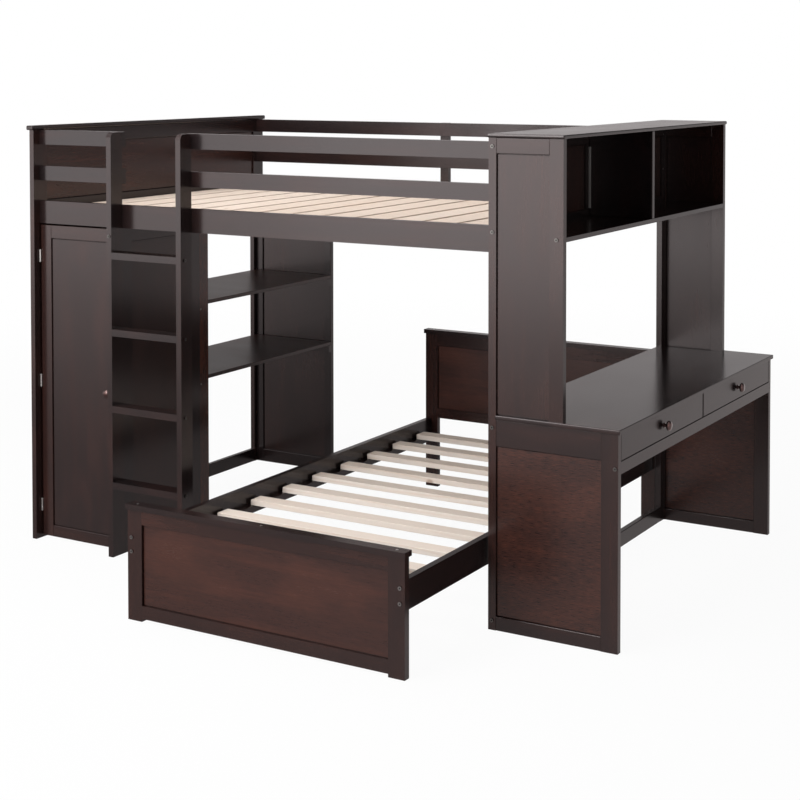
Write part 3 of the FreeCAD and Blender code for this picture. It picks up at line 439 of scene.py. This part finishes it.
def dark_bronze(name, metal):
    """Dark bronze lacquer on a turned knob."""
    finish = Finish(name)
    wear = finish.noise(finish.object_place(), BRONZE_CELLS, detail=3.0, rough=0.6)
    rubbed = wear.above(*BRONZE_WEAR_EDGE)
    finish.set(
        Base_Color=finish.mix(rubbed, tuple(metal.bronze), tuple(metal.bronze_worn)),
        Metallic=BRONZE_METAL,
        Roughness=(wear - MIDDLE) * BRONZE_GLOSS + BRONZE_ROUGHNESS,
        Coat_Weight=1.0,
    )
    return finish.material


# Mesh work

MERGE_GAP = 1e-5
FLAT_ANGLE = math.radians(0.5)  # faces that turn by less than this are one
SHARP_ANGLE = math.radians(40.0)
EDGE_STEPS = 2
LEVEL_WEIGHT = 100  # large faces outweigh the small ones of their edges
SAME_WAY = 0.9  # how much of a normal lies along an axis when its face looks that way
GRAIN_SHIFT = 40.0  # how far a board's pattern may be moved, in metres
TONE_SPREAD = 0.08  # how much a board's tone may differ from that of its piece


def select_none():
    bpy.ops.object.select_all(action="DESELECT")


def select_only(piece):
    """Leaves only this piece selected, and makes it active."""
    select_none()
    piece.select_set(True)
    bpy.context.view_layer.objects.active = piece


def edit(piece):
    """Opens a piece in edit mode with nothing selected."""
    select_only(piece)
    bpy.ops.object.mode_set(mode="EDIT")
    bpy.ops.mesh.select_mode(type="FACE")
    bpy.ops.mesh.select_all(action="DESELECT")


def close():
    bpy.ops.object.mode_set(mode="OBJECT")


def pick_faces(piece, axis):
    """Selects the faces that look along an axis, either way."""
    work = bmesh.from_edit_mesh(piece.data)
    for face in work.faces:
        if abs(face.normal[axis]) > SAME_WAY:
            face.select_set(True)
    bmesh.update_edit_mesh(piece.data)


def face_boards(work):
    """The boards of a mesh, as lists of faces that meet two by two along their edges."""
    seen = set()
    boards = []
    for first in work.faces:
        if first in seen:
            continue
        seen.add(first)
        board, ahead = [], [first]
        while ahead:
            face = ahead.pop()
            board.append(face)
            for edge in face.edges:
                if len(edge.link_faces) != 2:
                    continue
                for other in edge.link_faces:
                    if other not in seen:
                        seen.add(other)
                        ahead.append(other)
        boards.append(board)
    return boards


def part_boards(piece):
    """Splits boards that only share a corner or an edge, in edit mode."""
    work = bmesh.from_edit_mesh(piece.data)
    if all(len(edge.link_faces) == 2 for edge in work.edges):
        return
    work.faces.index_update()
    boards = [[face.index for face in board] for board in face_boards(work)]
    for board in boards:
        bpy.ops.mesh.select_all(action="DESELECT")
        work = bmesh.from_edit_mesh(piece.data)
        work.faces.ensure_lookup_table()
        for index in board:
            work.faces[index].select_set(True)
        bmesh.update_edit_mesh(piece.data)
        bpy.ops.mesh.split()


def islands(mesh):
    """A number for each vertex, the same for all that hang together."""
    ends = np.empty(len(mesh.edges) * 2, np.int64)
    mesh.edges.foreach_get("vertices", ends)
    ends = ends.reshape(-1, 2)
    label = np.arange(len(mesh.vertices))
    while True:
        low = np.minimum(label[ends[:, 0]], label[ends[:, 1]])
        after = label.copy()
        np.minimum.at(after, ends[:, 0], low)
        np.minimum.at(after, ends[:, 1], low)
        after = after[after]
        if np.array_equal(after, label):
            return label
        label = after


def mark_boards(piece, grain, look):
    """Writes each board's own coordinates, the first along its grain, and its look."""
    mesh = piece.data
    place = np.empty(len(mesh.vertices) * 3)
    mesh.vertices.foreach_get("co", place)
    place = place.reshape(-1, 3)
    label = islands(mesh)
    draw = random.Random(piece.name)
    out = np.zeros_like(place)
    looks = np.tile(look, (len(place), 1))
    for each in np.unique(label):
        mine = label == each
        low, high = place[mine].min(0), place[mine].max(0)
        order = [int(axis) for axis in np.argsort(low - high)]
        if grain is not None:
            order.remove(grain)
            order.insert(0, grain)
        shift = [draw.uniform(-GRAIN_SHIFT, GRAIN_SHIFT) for _ in range(3)]
        out[mine] = (place[mine] - (low + high) / 2)[:, order] + shift
        tone = look[0] + draw.uniform(-TONE_SPREAD, TONE_SPREAD)
        looks[mine, 0] = min(max(tone, 0.0), 1.0)
    for name, values in (("board", out), ("look", looks)):
        attribute = mesh.attributes.new(name, "FLOAT_VECTOR", "POINT")
        attribute.data.foreach_set("vector", values.ravel())


def apply_all(piece):
    select_only(piece)
    for modifier in list(piece.modifiers):
        bpy.ops.object.modifier_apply(modifier=modifier.name)


def soften(piece, width):
    """Rounds a piece's sharp edges and keeps its faces level."""
    select_only(piece)
    bpy.ops.object.shade_smooth()
    modifier = piece.modifiers.new("soft edges", "BEVEL")
    modifier.width = width
    modifier.segments = EDGE_STEPS
    modifier.limit_method = "ANGLE"
    modifier.angle_limit = SHARP_ANGLE
    modifier.use_clamp_overlap = True
    level = piece.modifiers.new("level faces", "WEIGHTED_NORMAL")
    level.weight = LEVEL_WEIGHT
    apply_all(piece)


def settle(piece, node, material):
    """Gives a piece its finish, and puts it in its CAD node's place, body and slot."""
    piece.data.materials.clear()
    piece.data.materials.append(material)
    bodies = frame["record"]["behaviour"]["bodies"]
    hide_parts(node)
    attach(piece, next(body for body, nodes in bodies.items() if node in nodes))


def copy_node(node):
    """A copy of a CAD node's mesh, with its corners joined and its flat faces whole."""
    piece = bpy.data.objects.new(f"{node}_piece", frame["nodes"][node].data.copy())
    bpy.context.scene.collection.objects.link(piece)
    edit(piece)
    bpy.ops.mesh.select_all(action="SELECT")
    bpy.ops.mesh.remove_doubles(threshold=MERGE_GAP)
    part_boards(piece)
    bpy.ops.mesh.select_all(action="SELECT")
    bpy.ops.mesh.dissolve_limited(angle_limit=FLAT_ANGLE)
    close()
    return piece


def groove(piece, width, depth):
    """Sinks a narrow line round the large faces of each panel, along their edges."""
    areas = [0.0, 0.0, 0.0]
    for face in piece.data.polygons:
        for axis in range(3):
            areas[axis] += face.area * abs(face.normal[axis])
    across = areas.index(max(areas))
    edit(piece)
    pick_faces(piece, across)
    bpy.ops.transform.shrink_fatten(value=-depth)
    bpy.ops.mesh.inset(thickness=width, depth=0.0)
    bpy.ops.mesh.extrude_region_shrink_fatten(TRANSFORM_OT_shrink_fatten={"value": depth})
    close()


def dress(node, material, edge, grain, line=None):
    """A CAD node's boards with softened edges and a grain of their own."""
    piece = copy_node(node)
    if line is not None:
        groove(piece, *line)
    soften(piece, NOSES.get(node, edge))
    mark_boards(piece, grain, LOOKS.get(node, PLAIN_LOOK))
    settle(piece, node, material)


# Finishes, each made once

FINISHES = {}


def finish(name):
    """One of the object's finishes."""
    wood = bpy.context.scene.loft_wood
    metal = bpy.context.scene.loft_metal
    makers = {
        "dark wood": lambda: stained_wood("dark wood", wood),
        "dark veneer": lambda: stained_wood("dark veneer", wood),
        "pine": lambda: raw_pine("pine", wood, wood.pine, wood.pine_cream, wood.pine_late),
        # the batten's pine, darkened and greyed as painted shade
        "grey pine": lambda: raw_pine("grey pine", wood, *[wood.pine_painted_shade] * 3),
        "steel": lambda: bright_steel("steel", metal.steel, STEEL_ROUGHNESS),
        "bolt steel": lambda: bright_steel("bolt steel", metal.low_bolt, BOLT_ROUGHNESS),
        "dark steel": lambda: bright_steel("dark steel", metal.bolt, BOLT_ROUGHNESS),
        # painted shade for the bolts' sockets and the round walls of their heads
        "socket": lambda: bright_steel("socket shade", metal.socket, SOCKET_ROUGHNESS),
        "bronze": lambda: dark_bronze("bronze", metal),
    }
    if name not in FINISHES:
        FINISHES[name] = makers[name]()
    return FINISHES[name]


# The pieces. Grain follows a board's longest side, or the axis that its node gives here.

STAINED = {
    "left_end_posts": None,
    "left_end_rails": None,
    "left_end_cap": None,
    "side_rails": None,
    "front_guard_rails": None,
    "rear_guard_rails": None,
    "rear_guard_batten": None,
    "ladder_posts": None,
    "ladder_rungs": None,
    "wardrobe_side_frame": None,
    "wardrobe_floor": X,
    "shelf_unit_post": None,
    "shelf_boards": X,
    "shelf_cleats": None,
    "rear_end_frame": None,
    "tower_posts": None,
    "tower_rails": None,
    "tower_side_posts": None,
    "tower_side_rails": None,
    "bookcase_top": Y,
    "bookcase_shelf": Y,
    "bookcase_divider": Z,
    "desk_top": Y,
    "desk_apron": Y,
    "drawer_runners": None,
    "door_frame": None,
    "drawer_left_front": Y,
    "drawer_right_front": Y,
    "twin_posts": None,
    "twin_end_rails": None,
    "twin_caps": None,
    "twin_side_rails": None,
    "twin_cleats": None,
}

VENEERED = {
    "left_end_panels": Y,
    "wardrobe_side_panel": Z,
    "wardrobe_back": Z,
    "rear_end_panel": Z,
    "bookcase_back": Z,
    "bookcase_side_panels": Z,
    "desk_side_panels": X,
    "door_panel": Z,
    "twin_end_panels": X,
}

PINE = {
    "deck_bearers": None,
    "deck_slats": None,
    "twin_slats": None,
    "drawer_left_box": None,
    "drawer_right_box": None,
}

# How red the stain or how cream the pine is, how open the pores are, and how matt the lacquer
PLAIN_LOOK = (0.08, 0.05, 0.0)
BATTEN_LOOK = (0.0, 0.0, 0.0)
LOOKS = {
    "deck_slats": (0.85, 0.0, 0.0),
    "deck_bearers": (0.85, 0.0, 0.0),
    "left_end_posts": (0.20, 0.05, 0.0),
    "left_end_panels": (0.60, 0.25, 0.02),
    "wardrobe_side_panel": (0.25, 0.20, 0.04),
    "wardrobe_back": (0.30, 0.20, 0.04),
    "rear_end_frame": (0.0, 0.0, 0.0),
    "rear_end_panel": (0.30, 0.20, 0.04),
    "shelf_boards": (0.30, 0.15, 0.14),
    "shelf_unit_post": (1.0, 0.40, 0.0),
    "bookcase_back": (0.50, 0.30, 0.04),
    "bookcase_side_panels": (0.25, 0.15, 0.03),
    "tower_side_posts": (0.22, 0.05, 0.0),
    "tower_side_rails": (0.22, 0.05, 0.0),
    "desk_side_panels": (0.72, 1.0, 0.04),
    "door_frame": (0.28, 0.05, 0.0),
    "door_panel": (0.15, 0.05, 0.03),
    "twin_slats": (0.34, 0.0, 0.0),
    "twin_posts": (0.36, 0.10, 0.0),
    "twin_end_rails": (0.40, 0.15, 0.0),
    "twin_end_panels": (0.85, 0.15, 0.04),
    "twin_side_rails": (0.0, 0.0, 0.0),
}

NOSES = {  # the wider edges of the caps and tops
    "left_end_cap": 0.004,
    "bookcase_top": 0.0045,
    "desk_top": 0.005,
    "twin_caps": 0.006,
}

STEEL = {
    "hanging_rail": "steel",
    "rail_sockets": "steel",
    "door_catch": "steel",
    "hinge_frame_leaves": "steel",
    "hinge_pins": "steel",
    "hinge_door_leaves": "steel",
    "frame_bolts": "dark steel",
    "frame_screws": "dark steel",
    "twin_bolts": "bolt steel",
    "twin_screws": "steel",
}

BOLTS = ("frame_bolts", "twin_bolts")
SOCKET_RADIUS = 0.0036  # all of a hex socket lies within it, round the bolt's axis; faces there get painted shade
ROUND_WALL = 0.95  # how much of a normal lies across the bolt's axis on a head's round wall; these walls get painted shade

KNOBS = {"door_knob": (Y, -1), "drawer_left_knob": (X, 1), "drawer_right_knob": (X, 1)}
KNOB_PROFILE = (  # radius and height of the turned rings, in shares of the knob's own
    (0.54, 0.0),
    (0.54, 0.05),
    (0.48, 0.08),
    (0.35, 0.11),
    (0.32, 0.20),
    (0.37, 0.30),
    (0.58, 0.37),
    (0.86, 0.43),
    (0.98, 0.52),
    (1.00, 0.63),
    (0.96, 0.75),
    (0.83, 0.87),
    (0.60, 0.96),
    (0.30, 0.995),
)
KNOB_SIDES = 40
KNOB_SHARP = math.radians(50.0)

BATTEN_FOOT = 0.005  # from the foot of the bookcase's back to the batten's
BATTEN_HEAD = 0.010  # from the batten's head to the top of the bookcase's back
PINE_EDGE = 0.8  # width of the slats' softened edges, in shares of the stained boards'


class LOFTBED_OT_stained_boards(bpy.types.Operator):
    """Softens the stained boards and gives each its own grain"""

    bl_idname = "loftbed.stained_boards"
    bl_label = "Stained boards"

    def execute(self, context):
        for node, grain in STAINED.items():
            dress(node, finish("dark wood"), context.scene.loft_trim.edge, grain)
        return {"FINISHED"}


class LOFTBED_OT_veneered_panels(bpy.types.Operator):
    """Gives the panels their stained veneer"""

    bl_idname = "loftbed.veneered_panels"
    bl_label = "Veneered panels"

    def execute(self, context):
        trim = context.scene.loft_trim
        line = (trim.groove, trim.groove_deep)
        for node, grain in VENEERED.items():
            dress(node, finish("dark veneer"), trim.metal_edge, grain, line)
        return {"FINISHED"}


class LOFTBED_OT_pine_slats(bpy.types.Operator):
    """Finishes the raw slats and the drawer boxes in planed pine"""

    bl_idname = "loftbed.pine_slats"
    bl_label = "Pine slats"

    def execute(self, context):
        for node, grain in PINE.items():
            dress(node, finish("pine"), context.scene.loft_trim.edge * PINE_EDGE, grain)
        return {"FINISHED"}


class LOFTBED_OT_steel_fittings(bpy.types.Operator):
    """Finishes the hinges, bolts, screws, rail and catch in plated steel"""

    bl_idname = "loftbed.steel_fittings"
    bl_label = "Steel fittings"

    def execute(self, context):
        for node, steel in STEEL.items():
            piece = copy_node(node)
            soften(piece, context.scene.loft_trim.metal_edge)
            settle(piece, node, finish(steel))
            if node in BOLTS:
                self.paint_socket_shade(piece)
        return {"FINISHED"}

    def paint_socket_shade(self, piece):
        """Paints shade on the bolts' hex sockets and on the round walls of their heads: a dark
        finish that stands in for their shade.
        """
        mesh = piece.data
        place = np.array([tuple(vertex.co) for vertex in mesh.vertices])
        label = islands(mesh)
        painted_shade = np.zeros(len(place), bool)
        walls = np.zeros((len(place), 3))
        for each in np.unique(label):
            mine = np.flatnonzero(label == each)
            low, high = place[mine].min(0), place[mine].max(0)
            round_axes = [int(axis) for axis in np.argsort(high - low)[:2]]
            offset = (place[mine] - (low + high) / 2)[:, round_axes]
            painted_shade[mine] = np.hypot(*offset.T) < SOCKET_RADIUS
            walls[np.ix_(mine, round_axes)] = 1.0
        mesh.materials.append(finish("socket"))
        shade = len(mesh.materials) - 1
        for face in mesh.polygons:
            corners = list(face.vertices)
            sideways = np.linalg.norm(walls[corners[0]] * face.normal)
            if painted_shade[corners].all() or sideways > ROUND_WALL:
                face.material_index = shade


class LOFTBED_OT_knobs(bpy.types.Operator):
    """Finishes the turned knobs of the door and the drawers"""

    bl_idname = "loftbed.knobs"
    bl_label = "Knobs"

    def execute(self, context):
        for node, (axis, side) in KNOBS.items():
            self.turn(node, axis, side)
        return {"FINISHED"}

    def turn(self, node, axis, side):
        """Turns a knob ring by ring, and sets it where the CAD has it."""
        low, high = (Vector(corner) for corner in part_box(node))
        size = high - low
        radius = size[(axis + 1) % 3] / 2
        seat = (low + high) / 2
        seat[axis] = low[axis] if side > 0 else high[axis]
        select_none()
        first = KNOB_PROFILE[0][0] * radius
        bpy.ops.mesh.primitive_circle_add(vertices=KNOB_SIDES, radius=first, fill_type="NGON")
        knob = bpy.context.object
        knob.name = f"{node}_turned"
        bpy.ops.object.mode_set(mode="EDIT")
        bpy.ops.mesh.select_mode(type="FACE")
        bpy.ops.mesh.select_all(action="SELECT")
        for (before, start), (after, end) in zip(KNOB_PROFILE, KNOB_PROFILE[1:]):
            rise = (end - start) * size[axis]
            move = {"value": (0.0, 0.0, rise)}
            bpy.ops.mesh.extrude_region_move(TRANSFORM_OT_translate=move)
            bpy.ops.transform.resize(value=(after / before, after / before, 1.0))
        bpy.ops.mesh.poke(offset=0.0)
        bpy.ops.mesh.select_all(action="SELECT")
        bpy.ops.mesh.normals_make_consistent(inside=False)
        close()
        outward = Vector((0.0, 0.0, 0.0))
        outward[axis] = side
        turn = Vector((0.0, 0.0, 1.0)).rotation_difference(outward).to_matrix().to_4x4()
        knob.data.transform(Matrix.Translation(seat) @ turn)
        select_only(knob)
        bpy.ops.object.shade_smooth_by_angle(angle=KNOB_SHARP)
        settle(knob, node, finish("bronze"))


class LOFTBED_OT_batten(bpy.types.Operator):
    """Sets the raw batten that holds the divider to the bookcase's back, its pine darkened as
    painted shade
    """

    bl_idname = "loftbed.batten"
    bl_label = "Bookcase batten"

    def execute(self, context):
        trim = context.scene.loft_trim
        wide, deep = trim.batten, trim.batten_deep
        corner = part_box("bookcase_divider")[0]
        low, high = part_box("bookcase_back")
        low_end, high_end = low[Z] + BATTEN_FOOT, high[Z] - BATTEN_HEAD
        size = (wide, deep, high_end - low_end)
        centre = (corner[X] + wide / 2, corner[Y] - deep / 2, (low_end + high_end) / 2)
        select_none()
        bpy.ops.mesh.primitive_cube_add(size=1.0, location=centre, scale=size)
        batten = bpy.context.object
        batten.name = "bookcase_batten"
        bpy.ops.object.transform_apply(location=True, rotation=False, scale=True)
        soften(batten, trim.metal_edge)
        mark_boards(batten, Z, BATTEN_LOOK)
        # its grey colour is painted shade on pale pine
        batten.data.materials.append(finish("grey pine"))
        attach(batten, "loft_frame")
        return {"FINISHED"}


# The stage

PICTURE_SIDE = 800  # the photograph's side, in pixels
SENSOR = 36.0  # the camera's, in millimetres
SIGHT = 100.0  # how far the camera sees

LAMPS = {  # place, size, watts, and the place that it shines at
    "front": ((-2.3, -6.6, 1.75), (3.9, 3.4), 112.0, (-2.3, 0.0, 1.75)),
    "front left": ((-6.2, -6.6, 1.75), (3.8, 3.4), 62.0, (-6.2, 0.0, 1.75)),
    "side": ((5.6, -3.6, 2.1), (2.0, 2.0), 14.0, (2.1, 0.6, 1.3)),
    "top": ((-0.9, -0.7, 4.8), (4.0, 2.6), 150.0, (0.2, -0.4, 0.0)),
    "key": ((-0.9, -5.0, 3.5), (3.0, 2.6), 205.0, (0.3, 0.0, 0.5)),
    "left top": ((-2.4, -3.6, 4.4), (1.5, 1.5), 60.0, (0.4, 0.0, 1.4)),
}

WHITE = (1.0, 1.0, 1.0)
FLOOR_RADIUS = 14.0
FLOOR_SIDES = 96
FLOOR_GREY = (0.60, 0.60, 0.60)
FLOOR_ROUGH = 0.9
FLOOR_SHADE = 0.045  # how much of its light and shade the floor shows near the bed
SHADE_FADE = (2.0, 7.0)  # it shows less from here on, and none there
FLOOR_TINT = (1.0, 0.92, 0.91)  # in reflections
DIM_PLACE = (-1.5, -0.8, 0.0)  # painted shade: reflections of the floor are dimmed round this place
DIM_REACH = (0.6, 5.0)  # how far from it that begins to fade, and is gone
PAINTED_FLOOR_SHADE = 0.60
REAR_REACH = (-0.5, 2.0)  # painted shade: they are also dimmed to the rear, more and more between these
PAINTED_REAR_SHADE = 0.36
BACKDROP_TINT = (1.0, 0.94, 0.94)  # in reflections
BEHIND = (-0.1, 0.5)  # directions along Y between which the backdrop dims in reflections
HIGH = (0.12, 0.40)  # the same along Z
DIM_BACKDROP = 0.32
DIM_HIGH_BACKDROP = 0.58  # added to the other


class LOFTBED_OT_stage(bpy.types.Operator):
    """Lays the floor, and sets the light and the camera"""

    bl_idname = "loftbed.stage"
    bl_label = "Floor, light and camera"

    def execute(self, context):
        self.floor()
        self.world(context.scene)
        for name, setting in LAMPS.items():
            self.lamp(name, *setting)
        self.camera(context.scene)
        context.scene.view_settings.view_transform = "Standard"
        return {"FINISHED"}

    def camera(self, scene):
        stage = scene.loft_stage
        data = bpy.data.cameras.new("camera")
        data.sensor_width = SENSOR
        data.lens = stage.focal_pixels / PICTURE_SIDE * data.sensor_width
        data.shift_y = -stage.rise_pixels / PICTURE_SIDE
        data.clip_end = SIGHT
        camera = bpy.data.objects.new("camera", data)
        camera.location = stage.eye
        camera.rotation_euler = stage.turn
        scene.collection.objects.link(camera)
        scene.camera = camera

    def floor(self):
        """A white floor that keeps the bed's shadow, and is less bright in reflections, with
        painted shade there round one place and to the rear.
        """
        select_none()
        bpy.ops.mesh.primitive_circle_add(
            vertices=FLOOR_SIDES, radius=FLOOR_RADIUS, fill_type="NGON"
        )
        floor = bpy.context.object
        floor.name = "floor"
        paint = Finish("floor")
        mirrored = paint.ray("Glossy")
        shown = paint.ray("Camera") + paint.ray("Transmission")
        place = paint.object_place()
        away = paint.vector("LENGTH", place, output="Value")
        from_dim = paint.vector("SUBTRACT", place, DIM_PLACE)
        painted_shade_near = 1.0 - paint.vector("LENGTH", from_dim, output="Value").above(*DIM_REACH)
        rear = paint.part(place, Y).above(*REAR_REACH)
        plain_white = shown * (away.above(*SHADE_FADE) * FLOOR_SHADE + (1.0 - FLOOR_SHADE))
        # painted shade: the floor's brightness in reflections is lowered near DIM_PLACE and to the
        # rear
        level = 1.0 - mirrored * (painted_shade_near * PAINTED_FLOOR_SHADE + rear * PAINTED_REAR_SHADE)
        paint.set(Base_Color=FLOOR_GREY, Roughness=FLOOR_ROUGH)
        lit = Wire(paint, paint.shader.outputs[0])
        tint = paint.mix(mirrored, WHITE, FLOOR_TINT)
        white = paint.node("ShaderNodeEmission", Color=tint, Strength=level)
        both = paint.node("ShaderNodeMixShader", {}, plain_white + mirrored, lit, white)
        paint.links.new(both.socket, paint.nodes["Material Output"].inputs["Surface"])
        floor.data.materials.append(paint.material)

    def world(self, scene):
        """A white backdrop all round, less bright in reflections from behind, and an even fill."""
        fill = scene.loft_stage.world
        scene.world = bpy.data.worlds.new("studio")
        scene.world.use_nodes = True
        tree = Tree(scene.world.node_tree)
        glossy = tree.ray("Glossy")
        seen = (tree.ray("Camera") + glossy + tree.ray("Transmission")).clamped()
        way = tree.node("ShaderNodeTexCoord", output="Generated")
        behind = tree.part(way, Y).above(*BEHIND)
        high = tree.part(way, Z).above(*HIGH)
        backdrop = 1.0 - glossy * behind * (high * DIM_HIGH_BACKDROP + DIM_BACKDROP)
        background = tree.nodes["Background"]
        tree.feed(background.inputs["Strength"], seen * (backdrop - fill) + fill)
        tree.feed(background.inputs["Color"], tree.mix(glossy, WHITE, BACKDROP_TINT))

    def lamp(self, name, place, size, power, aim):
        data = bpy.data.lights.new(name, "AREA")
        data.shape = "RECTANGLE"
        data.size, data.size_y = size
        data.energy = power
        lamp = bpy.data.objects.new(name, data)
        lamp.location = place
        lamp.rotation_euler = (Vector(aim) - Vector(place)).to_track_quat("-Z", "Y").to_euler()
        bpy.context.scene.collection.objects.link(lamp)


# The add-on


class LOFTBED_PT_panel(bpy.types.Panel):
    bl_idname = "LOFTBED_PT_panel"
    bl_label = "Loft bed"
    bl_space_type = "VIEW_3D"
    bl_region_type = "UI"
    bl_category = "Loft bed"

    def draw(self, context):
        for operator in OPERATORS:
            self.layout.operator(operator.bl_idname)
        for name in SETTINGS:
            box = self.layout.box()
            settings = getattr(context.scene, name)
            for key in settings.__annotations__:
                box.prop(settings, key)


OPERATORS = (
    LOFTBED_OT_stained_boards,
    LOFTBED_OT_veneered_panels,
    LOFTBED_OT_pine_slats,
    LOFTBED_OT_steel_fittings,
    LOFTBED_OT_knobs,
    LOFTBED_OT_batten,
    LOFTBED_OT_stage,
)
SETTINGS = {
    "loft_wood": WoodSettings,
    "loft_metal": MetalSettings,
    "loft_trim": TrimSettings,
    "loft_stage": StageSettings,
}
CLASSES = (*SETTINGS.values(), *OPERATORS, LOFTBED_PT_panel)


def register():
    for each in CLASSES:
        bpy.utils.register_class(each)
    for key, settings in SETTINGS.items():
        setattr(bpy.types.Scene, key, bpy.props.PointerProperty(type=settings))


def unregister():
    for key in SETTINGS:
        delattr(bpy.types.Scene, key)
    for each in reversed(CLASSES):
        bpy.utils.unregister_class(each)


def main():
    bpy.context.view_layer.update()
    register()
    bpy.ops.loftbed.stained_boards()
    bpy.ops.loftbed.veneered_panels()
    bpy.ops.loftbed.pine_slats()
    bpy.ops.loftbed.steel_fittings()
    bpy.ops.loftbed.knobs()
    bpy.ops.loftbed.batten()
    bpy.ops.loftbed.stage()


if __name__ == "__main__":
    main()
